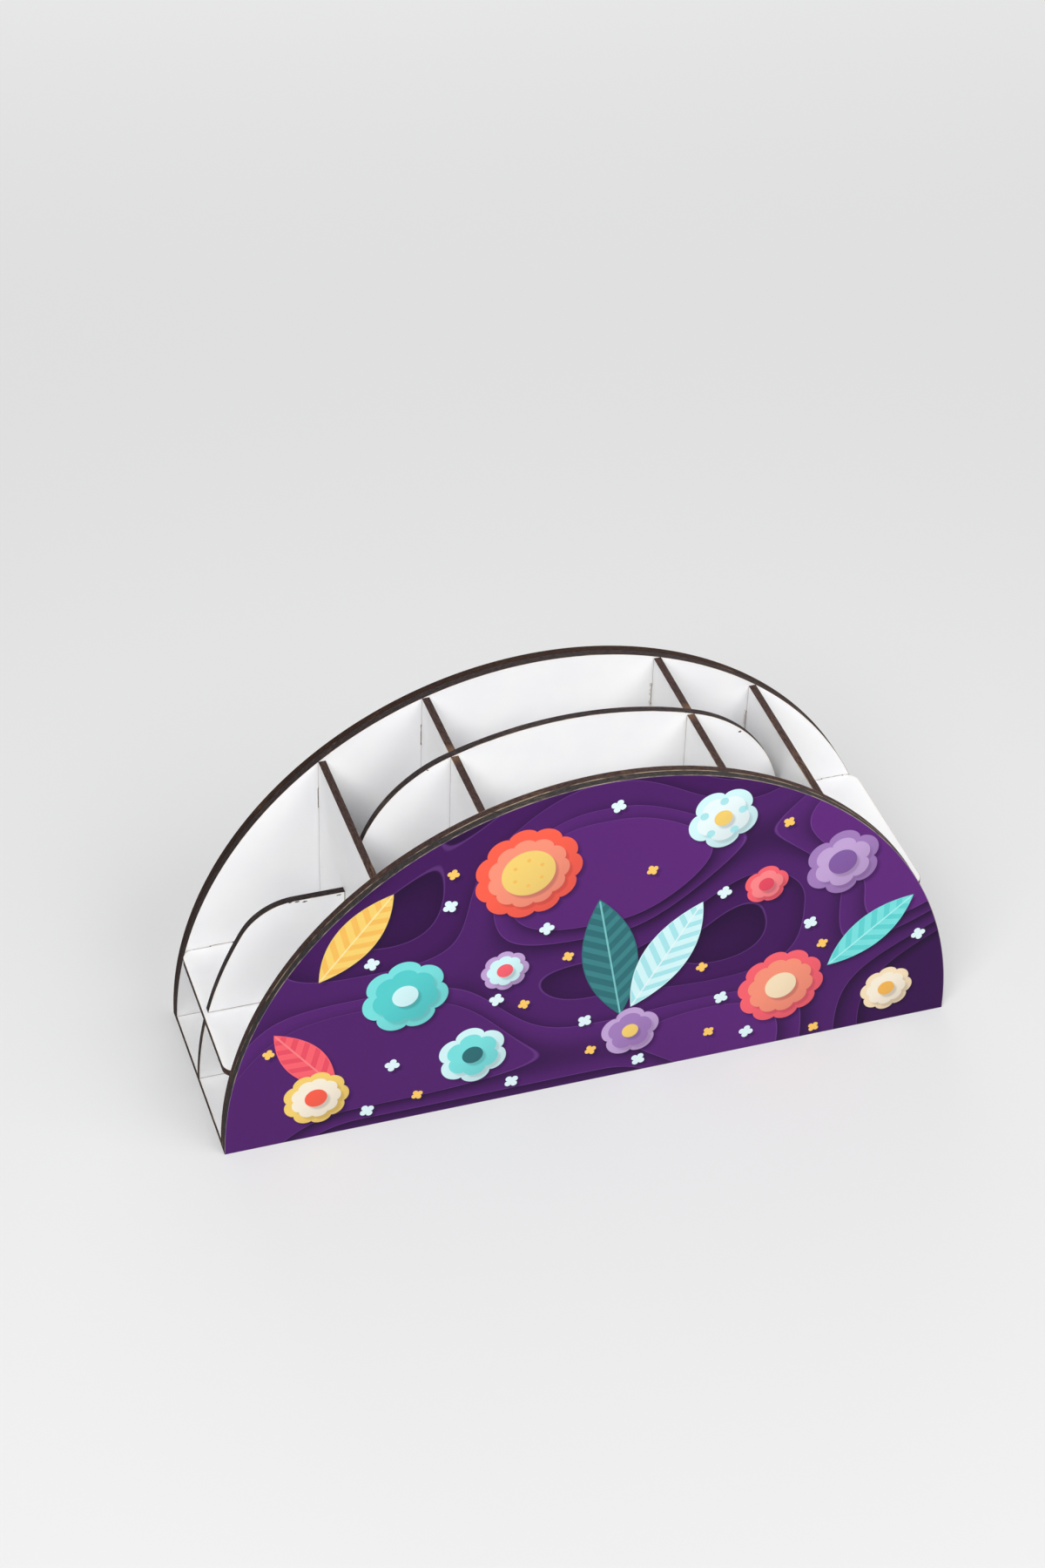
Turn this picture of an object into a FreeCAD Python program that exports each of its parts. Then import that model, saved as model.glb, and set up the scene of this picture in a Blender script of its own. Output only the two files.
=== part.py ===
"""Half-disc desk organiser: twelve flat boards that slot and tab together.

Frame: millimetres, X to the right, Y to the back, Z up, with the origin on the underside of the base
board, at the middle of the width and the depth. The centre line of every arc also runs through it.

Two printed or plain cover boards hide two inner boards. Between the inner boards stand four dividers,
which cross a middle panel and split the room into front and back cells. A low floor on the left and a
high shelf on the right close the outer cells. Every sketch lies in the middle of its board's thickness.
"""
import FreeCAD, Part
import os

import Sketcher

SIZES = {
    "board": 3.0,               # thickness of every board
    "fit_clearance": 0.05,      # room on each side of a tab or slot
    "disc_radius": 148.0,       # outline of the front, middle and back boards
    "cell_depth": 34.2,         # front to back inside one cell
    "inner_offset": 46.6,       # inner divider's centre from the middle of the width
    "outer_offset": 87.4,       # outer divider's centre from the middle of the width
    "arch_fillet": 55.0,        # turns the middle panel's arc down to the outer dividers
    "shoulder_top": 84.2,       # middle panel's level edge, left of the outer divider
    "shoulder_fillet": 24.0,    # turns that level edge into the arc
    "left_floor_top": 36.3,
    "right_shelf_top": 63.8,
    "shelf_overhang": 1.1,      # past the arc, measured at the shelf's underside
    "shelf_corner": 5.0,        # radius of a shelf's two outer corners
    "divider_tab": 9.0,         # height of the tabs in a divider's ends
    "upper_tab_drop": 12.8,     # from a divider's top to its upper tab
    "lower_tab_rise": 25.0,     # from the base board to a divider's lower tab
    "shelf_tab": 9.0,           # length of the tabs in a shelf's long edges
    "inner_tab_gap": 8.0,       # from a divider to the shelf's nearer tab
    "left_tab_gap": 7.0,        # from the rounded corner to the left floor's farther tab
    "right_tab_gap": 0.5,       # from the rounded corner to the right shelf's farther tab
    "base_tab": 20.0,           # length of the tabs in the base board's long edges
    "base_tab_offset": 110.0,   # outer base tabs' centres from the middle of the width
    "foot": 9.0,                # length of the tabs that stand in the base board
}

# Places worked out from the sizes, as expressions that the document keeps live
BOARD = "sizes.board"
HALF_BOARD = "sizes.board / 2"
HALF_SLOT = "(sizes.board / 2 + sizes.fit_clearance)"
CLEARANCE = "sizes.fit_clearance"
HALF_ROOM = "(sizes.cell_depth + sizes.board / 2)"
HALF_CELL = "(sizes.cell_depth / 2 + sizes.board / 2)"
ARCH_SIDE = "(sizes.outer_offset - sizes.board / 2 - sizes.fit_clearance)"
DIVIDER_FACE = "(sizes.outer_offset + sizes.board / 2)"
BETWEEN_DIVIDERS = "((sizes.inner_offset + sizes.outer_offset) / 2)"
LEFT_UNDERSIDE = "(sizes.left_floor_top - sizes.board)"
RIGHT_UNDERSIDE = "(sizes.right_shelf_top - sizes.board)"


def arc_at(distance):
    """Height of the arc at a distance from the middle, or its half width at a height."""
    return f"sqrt(sizes.disc_radius ^ 2 - ({distance}) ^ 2)"


def divider_top(offset):
    """A divider is as high as the arc at its outer face."""
    return arc_at(f"{offset} + sizes.board / 2")


def half_way_up(crossing_top):
    """Where two crossing boards meet: each is slotted through half of the height above the base."""
    return f"((sizes.board + {crossing_top}) / 2)"


INNER_MEETING = half_way_up(divider_top("sizes.inner_offset"))
UPPER_HALF = (INNER_MEETING, "sizes.disc_radius")
LEFT_MEETING = half_way_up("sizes.shoulder_top")
RIGHT_MEETING = half_way_up(RIGHT_UNDERSIDE)
LEFT_REACH = f"({arc_at(LEFT_UNDERSIDE)} + sizes.shelf_overhang)"
RIGHT_REACH = f"({arc_at(RIGHT_UNDERSIDE)} + sizes.shelf_overhang)"
LEFT_LAP = f"(({DIVIDER_FACE} + {LEFT_REACH}) / 2)"
BASE_TAB_CENTRES = ("-sizes.base_tab_offset", "0", "sizes.base_tab_offset")
MIDDLE_FOOT_CENTRES = (f"-{BETWEEN_DIVIDERS}", "0", BETWEEN_DIVIDERS)

doc = FreeCAD.newDocument("organizer")
sheet = doc.addObject("Spreadsheet::Sheet", "sizes")


def fill_sheet():
    """One row per size: its name, its number and the number's alias."""
    for row, (name, number) in enumerate(SIZES.items(), start=1):
        sheet.set(f"A{row}", name)
        sheet.set(f"B{row}", str(number))
        sheet.setAlias(f"B{row}", name)
    doc.recompute()


def value(expression):
    """The number that an expression gives with the sheet's present sizes."""
    return float(sheet.evalExpression(expression))


def add_body(name, **place):
    """A new board. Each of place's axes x, y, z is the expression for its middle plane or centre."""
    body = doc.addObject("PartDesign::Body", name)
    body.Label = name
    for axis, expression in place.items():
        body.setExpression(f"Placement.Base.{axis}", expression)
    return body


def add_sketch(body, name, role):
    """A sketch on one of the board's own origin planes, such as XZ_Plane."""
    plane = [feature for feature in body.Origin.OriginFeatures if feature.Role == role][0]
    sketch = body.newObject("Sketcher::SketchObject", f"{body.Name}_{name}")
    sketch.AttachmentSupport = [(plane, "")]
    sketch.MapMode = "FlatFace"
    return sketch


def pin_point(sketch, geometry, point, across, up):
    """Hold one point of a line or arc at two expressions from the sketch's origin."""
    for kind, expression in (("DistanceX", across), ("DistanceY", up)):
        index = sketch.addConstraint(Sketcher.Constraint(kind, -1, 1, geometry, point, value(expression)))
        sketch.setExpression(f"Constraints[{index}]", expression)


def add_rectangle(sketch, left, right, low, high):
    """A closed rectangle whose four sides follow four expressions."""
    x = [value(left), value(right)]
    y = [value(low), value(high)]
    corners = [(x[0], y[0]), (x[1], y[0]), (x[1], y[1]), (x[0], y[1])]
    points = [FreeCAD.Vector(across, up, 0) for across, up in corners]
    lines = [sketch.addGeometry(Part.LineSegment(points[i], points[(i + 1) % 4])) for i in range(4)]
    for i in range(4):
        sketch.addConstraint(Sketcher.Constraint("Coincident", lines[i], 2, lines[(i + 1) % 4], 1))
        sketch.addConstraint(Sketcher.Constraint("Vertical" if i % 2 else "Horizontal", lines[i]))
    pin_point(sketch, lines[0], 1, left, low)
    pin_point(sketch, lines[2], 1, right, high)


def add_centred(sketch, centre, half_width, low, high):
    """A rectangle that spreads the same way left and right of its centre."""
    add_rectangle(sketch, f"{centre} - {half_width}", f"{centre} + {half_width}", low, high)


def add_arc_outline(sketch, low):
    """The part of the disc above a level chord."""
    radius = value("sizes.disc_radius")
    chord_height = value(low)
    half_chord = value(arc_at(low))
    ends = [FreeCAD.Vector(half_chord, chord_height, 0), FreeCAD.Vector(-half_chord, chord_height, 0)]
    crown = FreeCAD.Vector(0, radius, 0)
    arc = sketch.addGeometry(Part.Arc(ends[0], crown, ends[1]))
    chord = sketch.addGeometry(Part.LineSegment(ends[1], ends[0]))
    sketch.addConstraint(Sketcher.Constraint("Coincident", arc, 3, -1, 1))
    sketch.addConstraint(Sketcher.Constraint("Coincident", arc, 2, chord, 1))
    sketch.addConstraint(Sketcher.Constraint("Coincident", chord, 2, arc, 1))
    index = sketch.addConstraint(Sketcher.Constraint("Radius", arc, radius))
    sketch.setExpression(f"Constraints[{index}]", "sizes.disc_radius")
    for end in (1, 2):
        index = sketch.addConstraint(Sketcher.Constraint("DistanceY", -1, 1, arc, end, chord_height))
        sketch.setExpression(f"Constraints[{index}]", low)


def pad(body, sketch):
    """Give a sketch the board's thickness, half on each side of its plane."""
    feature = body.newObject("PartDesign::Pad", f"{sketch.Name}_pad")
    feature.Profile = sketch
    feature.SideType = "Symmetric"
    feature.setExpression("Length", BOARD)
    doc.recompute()


def cut(body, sketch):
    """Cut a sketch through the whole board."""
    feature = body.newObject("PartDesign::Pocket", f"{sketch.Name}_cut")
    feature.Profile = sketch
    feature.SideType = "Symmetric"
    feature.Type = "ThroughAll"
    doc.recompute()


def round_edges(body, name, places, radius):
    """Fillet the edges that run straight through the board at the given places in its plane."""
    solid = body.Tip
    found = []
    for number, edge in enumerate(solid.Shape.Edges, start=1):
        middle = edge.CenterOfMass
        if any(middle.distanceToPoint(place) < value(CLEARANCE) for place in places):
            found.append(f"Edge{number}")
    if len(found) != len(places):
        raise RuntimeError(f"{name}: {len(found)} edges found for {len(places)} places")
    feature = body.newObject("PartDesign::Fillet", f"{body.Name}_{name}")
    feature.Base = (solid, found)
    feature.setExpression("Radius", radius)
    doc.recompute()


def disc_board(name, centre_y):
    """A half-disc board that stands on its straight edge."""
    body = add_body(name, y=centre_y)
    outline = add_sketch(body, "outline", "XZ_Plane")
    add_arc_outline(outline, "0")
    pad(body, outline)
    return body


def divider_tab_heights(offset):
    """Low and high ends of a divider's lower and upper tabs."""
    upper = f"({divider_top(offset)} - sizes.upper_tab_drop)"
    lower = "(sizes.board + sizes.lower_tab_rise)"
    return [(lower, f"{lower} + sizes.divider_tab"), (f"{upper} - sizes.divider_tab", upper)]


def shelf_tab_spans(reach, gap):
    """Inner and outer ends of a shelf's tabs, measured outwards from the middle of the width."""
    near = f"({DIVIDER_FACE} + sizes.inner_tab_gap)"
    far = f"({reach} - sizes.shelf_corner - {gap})"
    return [(near, f"{near} + sizes.shelf_tab"), (f"{far} - sizes.shelf_tab", far)]


def inner_board(name, centre_y):
    """A half-disc board with the mortises that take the tabs of dividers, shelves and base."""
    body = disc_board(name, centre_y)
    mortises = add_sketch(body, "divider_mortises", "XZ_Plane")
    for offset in ("sizes.inner_offset", "sizes.outer_offset"):
        for low, high in divider_tab_heights(offset):
            for side in ("-", ""):
                add_centred(mortises, side + offset, HALF_SLOT,
                            f"{low} - {CLEARANCE}", f"{high} + {CLEARANCE}")
    cut(body, mortises)
    slots = add_sketch(body, "shelf_mortises", "XZ_Plane")
    for near, far in shelf_tab_spans(LEFT_REACH, "sizes.left_tab_gap"):
        add_rectangle(slots, f"-({far}) - {CLEARANCE}", f"-({near}) + {CLEARANCE}",
                      f"{LEFT_UNDERSIDE} - {CLEARANCE}", f"sizes.left_floor_top + {CLEARANCE}")
    for near, far in shelf_tab_spans(RIGHT_REACH, "sizes.right_tab_gap"):
        add_rectangle(slots, f"{near} - {CLEARANCE}", f"{far} + {CLEARANCE}",
                      f"{RIGHT_UNDERSIDE} - {CLEARANCE}", f"sizes.right_shelf_top + {CLEARANCE}")
    cut(body, slots)
    notches = add_sketch(body, "base_notches", "XZ_Plane")
    for centre in BASE_TAB_CENTRES:
        add_centred(notches, centre, f"(sizes.base_tab / 2 + {CLEARANCE})", "0", f"{BOARD} + {CLEARANCE}")
    cut(body, notches)


def base_board():
    """The flat floor under all cells, with mortises for the feet of the dividers and middle panel."""
    body = add_body("base_board", z=HALF_BOARD)
    outline = add_sketch(body, "outline", "XY_Plane")
    half_width = arc_at(BOARD)
    add_rectangle(outline, f"-{half_width}", half_width, f"-{HALF_ROOM}", HALF_ROOM)
    pad(body, outline)
    tabs = add_sketch(body, "tabs", "XY_Plane")
    for centre in BASE_TAB_CENTRES:
        add_centred(tabs, centre, "sizes.base_tab / 2", f"-{HALF_ROOM} - {BOARD}", f"-{HALF_ROOM}")
        add_centred(tabs, centre, "sizes.base_tab / 2", HALF_ROOM, f"{HALF_ROOM} + {BOARD}")
    pad(body, tabs)
    mortises = add_sketch(body, "foot_mortises", "XY_Plane")
    half_foot = f"(sizes.foot / 2 + {CLEARANCE})"
    for offset in ("-sizes.outer_offset", "-sizes.inner_offset", "sizes.inner_offset", "sizes.outer_offset"):
        for cell in (f"-{HALF_CELL}", HALF_CELL):
            add_centred(mortises, offset, HALF_SLOT, f"{cell} - {half_foot}", f"{cell} + {half_foot}")
    for centre in MIDDLE_FOOT_CENTRES:
        add_centred(mortises, centre, half_foot, f"-{HALF_SLOT}", HALF_SLOT)
    cut(body, mortises)


def divider(name, centre_x, offset, slot_span):
    """An upright board from the inner front board to the inner back one, slotted for the middle panel."""
    body = add_body(name, x=centre_x)
    outline = add_sketch(body, "outline", "YZ_Plane")
    add_rectangle(outline, f"-{HALF_ROOM}", HALF_ROOM, BOARD, divider_top(offset))
    pad(body, outline)
    tabs = add_sketch(body, "tabs", "YZ_Plane")
    for low, high in divider_tab_heights(offset):
        add_rectangle(tabs, f"-{HALF_ROOM} - {BOARD}", f"-{HALF_ROOM}", low, high)
        add_rectangle(tabs, HALF_ROOM, f"{HALF_ROOM} + {BOARD}", low, high)
    for cell in (f"-{HALF_CELL}", HALF_CELL):
        add_centred(tabs, cell, "sizes.foot / 2", "0", BOARD)
    pad(body, tabs)
    slot = add_sketch(body, "slot", "YZ_Plane")
    add_rectangle(slot, f"-{HALF_SLOT}", HALF_SLOT, *slot_span)
    cut(body, slot)


def middle_panel():
    """The board that splits the cells front to back: an arch, a lower left shoulder, a right ledge."""
    body = add_body("middle_panel")
    outline = add_sketch(body, "outline", "XZ_Plane")
    add_arc_outline(outline, BOARD)
    pad(body, outline)
    trims = add_sketch(body, "trims", "XZ_Plane")
    add_rectangle(trims, "-sizes.disc_radius", f"-{ARCH_SIDE}", "sizes.shoulder_top", "sizes.disc_radius")
    add_rectangle(trims, ARCH_SIDE, "sizes.disc_radius", RIGHT_UNDERSIDE, "sizes.disc_radius")
    cut(body, trims)
    round_middle_panel(body)
    feet = add_sketch(body, "feet", "XZ_Plane")
    for centre in MIDDLE_FOOT_CENTRES:
        add_centred(feet, centre, "sizes.foot / 2", "0", BOARD)
    pad(body, feet)
    slots = add_sketch(body, "slots", "XZ_Plane")
    for offset in ("-sizes.inner_offset", "sizes.inner_offset"):
        add_centred(slots, offset, HALF_SLOT, BOARD, INNER_MEETING)
    add_centred(slots, "-sizes.outer_offset", HALF_SLOT, LEFT_MEETING, "sizes.shoulder_top")
    add_centred(slots, "sizes.outer_offset", HALF_SLOT, RIGHT_MEETING, RIGHT_UNDERSIDE)
    add_rectangle(slots, "-sizes.disc_radius", f"-{LEFT_LAP}",
                  f"{LEFT_UNDERSIDE} - {CLEARANCE}", f"sizes.left_floor_top + {CLEARANCE}")
    cut(body, slots)


def round_middle_panel(body):
    """Turn the arch down to the outer dividers, and the shoulder into the arc.

    A fillet is no larger than leaves one board's thickness of straight edge beyond it.
    """
    arch_side = value(ARCH_SIDE)
    arch_top = value(arc_at(ARCH_SIDE))
    shoulder_end = value(arc_at("sizes.shoulder_top"))
    shoulder_top = value("sizes.shoulder_top")
    straight = f"(sizes.shoulder_top + {BOARD})"
    arch_limit = (f"(sizes.disc_radius ^ 2 - {straight} ^ 2 - {ARCH_SIDE} ^ 2)"
                  f" / (2 * (sizes.disc_radius - {ARCH_SIDE}))")
    corners = [FreeCAD.Vector(-arch_side, 0, arch_top), FreeCAD.Vector(arch_side, 0, arch_top)]
    round_edges(body, "arch", corners, f"min(sizes.arch_fillet; {arch_limit})")
    level = f"({DIVIDER_FACE} + {BOARD})"
    shoulder_limit = (f"(sizes.disc_radius ^ 2 - sizes.shoulder_top ^ 2 - {level} ^ 2)"
                      f" / (2 * (sizes.disc_radius - sizes.shoulder_top))")
    corners = [FreeCAD.Vector(-shoulder_end, 0, shoulder_top)]
    round_edges(body, "shoulder", corners, f"min(sizes.shoulder_fillet; {shoulder_limit})")


def shelf(name, underside, reach, gap):
    """A level board outside an outer divider, drawn towards +X, with its outer corners rounded."""
    body = add_body(name, z=f"{underside} + {HALF_BOARD}")
    outline = add_sketch(body, "outline", "XY_Plane")
    add_rectangle(outline, DIVIDER_FACE, reach, f"-{HALF_ROOM}", HALF_ROOM)
    pad(body, outline)
    room = value(HALF_ROOM)
    corners = [FreeCAD.Vector(value(reach), -room, 0), FreeCAD.Vector(value(reach), room, 0)]
    round_edges(body, "corners", corners, "sizes.shelf_corner")
    tabs = add_sketch(body, "tabs", "XY_Plane")
    for near, far in shelf_tab_spans(reach, gap):
        add_rectangle(tabs, near, far, f"-{HALF_ROOM} - {BOARD}", f"-{HALF_ROOM}")
        add_rectangle(tabs, near, far, HALF_ROOM, f"{HALF_ROOM} + {BOARD}")
    pad(body, tabs)
    return body


def left_floor():
    """The low shelf, turned to the left side and slotted to cross the middle panel."""
    body = shelf("left_floor", LEFT_UNDERSIDE, LEFT_REACH, "sizes.left_tab_gap")
    slot = add_sketch(body, "slot", "XY_Plane")
    add_rectangle(slot, DIVIDER_FACE, LEFT_LAP, f"-{HALF_SLOT}", HALF_SLOT)
    cut(body, slot)
    body.Placement.Rotation = FreeCAD.Rotation(FreeCAD.Vector(0, 0, 1), 180)


def build():
    """Make the twelve boards."""
    fill_sheet()
    base_board()
    disc_board("front_printed_panel", f"-{HALF_ROOM} - 1.5 * {BOARD}")
    inner_board("front_inner_panel", f"-{HALF_ROOM} - {HALF_BOARD}")
    middle_panel()
    inner_board("back_inner_panel", f"{HALF_ROOM} + {HALF_BOARD}")
    disc_board("back_cover_panel", f"{HALF_ROOM} + 1.5 * {BOARD}")
    divider("divider_outer_left", "-sizes.outer_offset", "sizes.outer_offset", (BOARD, LEFT_MEETING))
    divider("divider_inner_left", "-sizes.inner_offset", "sizes.inner_offset", UPPER_HALF)
    divider("divider_inner_right", "sizes.inner_offset", "sizes.inner_offset", UPPER_HALF)
    divider("divider_outer_right", "sizes.outer_offset", "sizes.outer_offset", (BOARD, RIGHT_MEETING))
    left_floor()
    shelf("right_shelf", RIGHT_UNDERSIDE, RIGHT_REACH, "sizes.right_tab_gap")
    doc.recompute()


def check():
    """Stop at any failed object, open shape, or cut that took nothing away."""
    for item in doc.Objects:
        if {"Invalid", "Error"} & set(item.State):
            raise RuntimeError(f"{item.Name} failed to compute")
        if item.TypeId == "PartDesign::Pocket" and item.Shape.Volume >= item.BaseFeature.Shape.Volume:
            raise RuntimeError(f"{item.Name} cuts nothing")
    for body in boards():
        if body.Shape.isNull() or not body.Shape.isValid() or len(body.Shape.Solids) != 1:
            raise RuntimeError(f"{body.Label} is not one sound solid")


def boards():
    """All the sub-parts."""
    return [item for item in doc.Objects if item.TypeId == "PartDesign::Body"]


def export():
    """Write one STEP file for each board."""
    os.makedirs("parts", exist_ok=True)
    for body in boards():
        body.Shape.exportStep(f"parts/{body.Label}.step")
        box = body.Shape.BoundBox
        print(f"{body.Label:22s} {body.Shape.Volume / 1000:8.2f} cm3"
              f"  X {box.XMin:8.2f} {box.XMax:8.2f}  Y {box.YMin:7.2f} {box.YMax:7.2f}"
              f"  Z {box.ZMin:7.2f} {box.ZMax:7.2f}")


build()
check()
export()
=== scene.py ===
# %% [markdown]
# # A half-disc desk organiser, dressed
# Twelve flat boards, cut by laser from 3 mm fibreboard with white melamine faces, slot and tab
# together. What makes them look real is not the shapes, which are plain, but the cut: edges burnt
# brown, a thin pale line where the melamine ends, scorched seams where tabs pass through, and a
# satin print in front. This lesson builds each board as one closed surface, then gives it a
# material that knows how far every point lies from the cut.

# %% Load the frame
import math
from functools import partialmethod

import bpy
import numpy as np
from mathutils import Matrix, Vector
from mathutils.geometry import delaunay_2d_cdt


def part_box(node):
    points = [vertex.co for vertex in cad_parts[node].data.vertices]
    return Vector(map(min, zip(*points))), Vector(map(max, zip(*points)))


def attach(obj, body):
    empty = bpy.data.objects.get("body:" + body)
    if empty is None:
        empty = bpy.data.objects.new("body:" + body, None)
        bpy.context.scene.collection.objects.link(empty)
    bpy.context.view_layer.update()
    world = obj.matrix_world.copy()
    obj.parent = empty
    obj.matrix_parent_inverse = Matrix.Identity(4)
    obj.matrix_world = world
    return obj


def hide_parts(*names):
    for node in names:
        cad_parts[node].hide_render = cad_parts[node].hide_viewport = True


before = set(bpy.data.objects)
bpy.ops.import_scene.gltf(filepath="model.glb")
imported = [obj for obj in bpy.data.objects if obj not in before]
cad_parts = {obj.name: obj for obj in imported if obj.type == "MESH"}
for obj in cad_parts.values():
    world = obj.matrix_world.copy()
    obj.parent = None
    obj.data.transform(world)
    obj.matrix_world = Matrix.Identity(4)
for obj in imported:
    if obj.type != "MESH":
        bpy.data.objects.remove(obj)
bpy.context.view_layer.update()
MM = 0.001
FULL_TURN = 2 * math.pi

# %% [markdown]
# ## Measures
# Every place that the boards share is read from the CAD nodes' boxes, so the dressed boards lie
# exactly where the plain ones do. Only sizes that a box can't tell, such as a fillet, are written
# here.

# %% Measures from the frame


def span(node, axis):
    """Low and high ends of a node's box along X, Y or Z."""
    low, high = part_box(node)
    return low["XYZ".index(axis)], high["XYZ".index(axis)]


BOARD = span("base_board", "Z")[1]
HALF_BOARD = BOARD / 2
RADIUS = span("front_printed_panel", "X")[1]
ROOM = span("front_inner_panel", "Y")[1] * -1
CELL_MIDDLE = (ROOM + HALF_BOARD) / 2
INNER_X = sum(span("divider_inner_right", "X")) / 2
OUTER_X = sum(span("divider_outer_right", "X")) / 2
OUTER_FACE = span("divider_outer_right", "X")[1]
INNER_TOP = span("divider_inner_right", "Z")[1]
OUTER_TOP = span("divider_outer_right", "Z")[1]
FLOOR_LOW, FLOOR_TOP = span("left_floor", "Z")
SHELF_LOW, SHELF_TOP = span("right_shelf", "Z")
FLOOR_REACH = -span("left_floor", "X")[0]
SHELF_REACH = span("right_shelf", "X")[1]
print("board", round(BOARD / MM, 2), "radius", round(RADIUS / MM, 2), "room", round(ROOM / MM, 2))

# %% Sizes that boxes can't tell
FIT = 0.05 * MM
HALF_SLOT = HALF_BOARD + FIT
ARCH_FILLET = 55 * MM
SHOULDER_TOP = 84.2 * MM
SHOULDER_FILLET = 24 * MM
SHELF_CORNER = 5 * MM
DIVIDER_TAB = 9 * MM
UPPER_TAB_DROP = 12.8 * MM
LOWER_TAB_RISE = 25 * MM
SHELF_TAB = 9 * MM
INNER_TAB_GAP = 8 * MM
LEFT_TAB_GAP = 7 * MM
RIGHT_TAB_GAP = 0.5 * MM
BASE_TAB = 20 * MM
BASE_TAB_X = 110 * MM
FOOT = 9 * MM
BETWEEN = (INNER_X + OUTER_X) / 2
ARCH_SIDE = OUTER_X - HALF_SLOT
INNER_MEETING = (BOARD + INNER_TOP) / 2
LEFT_MEETING = (BOARD + SHOULDER_TOP) / 2
RIGHT_MEETING = (BOARD + SHELF_LOW) / 2
FLOOR_LAP = (OUTER_FACE + FLOOR_REACH) / 2
print("arch's side at x =", round(ARCH_SIDE / MM, 2), "mm")

# %% [markdown]
# ## Outlines
# A board's outline is a closed walk with the board on its left hand: outer edges run anticlockwise
# and holes clockwise. Round stretches are stepped so finely that the eye sees no facet. A step
# stays longer than the ring that is later laid inside the edge is wide, because the ring would
# cross itself beside a sharp corner.

# %% Walks along an outline
STEP = 1.25 * MM
FEWEST_POINTS = 9
SAME_PLACE = 1e-7


def arc(centre, radius, start, end):
    """Points centre + radius * (cos, sin) between two angles, a step or a little more apart."""
    count = max(FEWEST_POINTS, int(abs(end - start) * radius / STEP) + 1)
    angle = np.linspace(start, end, count)
    return np.array(centre) + radius * np.stack([np.cos(angle), np.sin(angle)], axis=1)


def rim(start_height, end_height, side=1):
    """The big circle from height to height, on the right (side 1) or the left (side -1)."""
    angles = np.arcsin(np.array([start_height, end_height]) / RADIUS)
    return arc((0, 0), RADIUS, *angles) * (side, 1)


def walk(*stretches):
    """Join stretches of points into one closed outline, without points that repeat."""
    points = np.concatenate([np.reshape(stretch, (-1, 2)).astype(float) for stretch in stretches])
    moved = np.linalg.norm(points - np.roll(points, 1, axis=0), axis=1)
    return points[moved > SAME_PLACE]


def notch(start, end, level, far_level):
    """Four corners, out from a level and back: a tab, a notch, or a hole that runs clockwise."""
    return [(start, level), (start, far_level), (end, far_level), (end, level)]


print("the half disc's round edge takes", len(rim(0, RADIUS)) * 2, "points")

# %% [markdown]
# ## One board as one surface
# A flat board is a profile carried along its outline. The profile starts on the front face a little
# way in from the edge, runs out over a tiny bevel, down the cut and back in over the other face. A
# few long triangles fill the flat middle of each face, holes and all.
#
# Numbers travel with every vertex. *inward* is how far a point on a face lies from the cut, and
# *deep* is how far a point on the cut lies below the nearer face. *hole* marks the edges of
# mortises, *meets* the edges that butt against another board, and *smoke* the board's char: umber
# (-1), brown (0) or smoky grey (1). The materials read them, so each board stays one closed piece.

# %% Profile across a board
BEVEL = 0.12 * MM
RIM_STEPS = np.array([0.95, 0.6, 0.3]) * MM


def board_profile():
    """Rows of (inset from the outline, height over the middle plane), from front face to back."""
    front = [(inset, HALF_BOARD) for inset in RIM_STEPS]
    front += [(BEVEL, HALF_BOARD), (0, HALF_BOARD - BEVEL), (0, HALF_BOARD / 2)]
    back = [(inset, -height) for inset, height in reversed(front)]
    return np.array(front + [(0, 0)] + back)


def inset_directions(loop):
    """At each corner, the mitred vector that moves both neighbouring edges inwards by one unit."""
    ahead = np.roll(loop, -1, axis=0) - loop
    ahead /= np.linalg.norm(ahead, axis=1, keepdims=True)
    left = np.stack([-ahead[:, 1], ahead[:, 0]], axis=1)
    before = np.roll(left, 1, axis=0)
    return (before + left) / (1 + np.sum(before * left, axis=1, keepdims=True))


PLANES = {
    "XZ": Matrix(((1, 0, 0), (0, 0, -1), (0, 1, 0))),
    "YZ": Matrix(((0, 0, 1), (1, 0, 0), (0, 1, 0))),
    "XY": Matrix(((1, 0, 0), (0, 1, 0), (0, 0, 1))),
}
print("profile rows:", len(board_profile()))

# %% Mark the edges that meet another board
FADE = 1.0 * MM
ROOMY = 2.5 * FADE


def mark_meetings(outline, meets):
    """The outline, and a 1 at each point of an edge whose middle passes the test, else 0.

    A free edge beside it gets one more point a fade's length away, so that the mark ends there.
    """
    ahead = np.roll(outline, -1, axis=0)
    meeting = meets(*((outline + ahead) / 2).T)
    marked = meeting | np.roll(meeting, 1)
    step = FADE * (ahead - outline) / np.linalg.norm(ahead - outline, axis=1, keepdims=True)
    roomy = ~meeting & (np.linalg.norm(ahead - outline, axis=1) > ROOMY)
    points = np.stack([outline, outline + step, ahead - step], axis=1).reshape(-1, 2)
    every, none = np.ones_like(marked), np.zeros_like(marked)
    kept = np.stack([every, roomy & marked, roomy & np.roll(marked, -1)], axis=1).ravel()
    marks = np.stack([marked, none, none], axis=1).ravel()
    return points[kept], marks[kept].astype(float)


def never(across, up):
    """The test for a board whose edges are all free."""
    return np.zeros(len(across), dtype=bool)


square = np.array([(0, 0), (9, 0), (9, 9), (0, 9)]) * MM
print("a square with its left edge marked:", mark_meetings(square, lambda x, y: x < 0.1 * MM)[1])

# %% Carry the profile along an outline
SHARP = math.radians(25)
SAME_PLACE_MM = 1e-6


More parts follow.
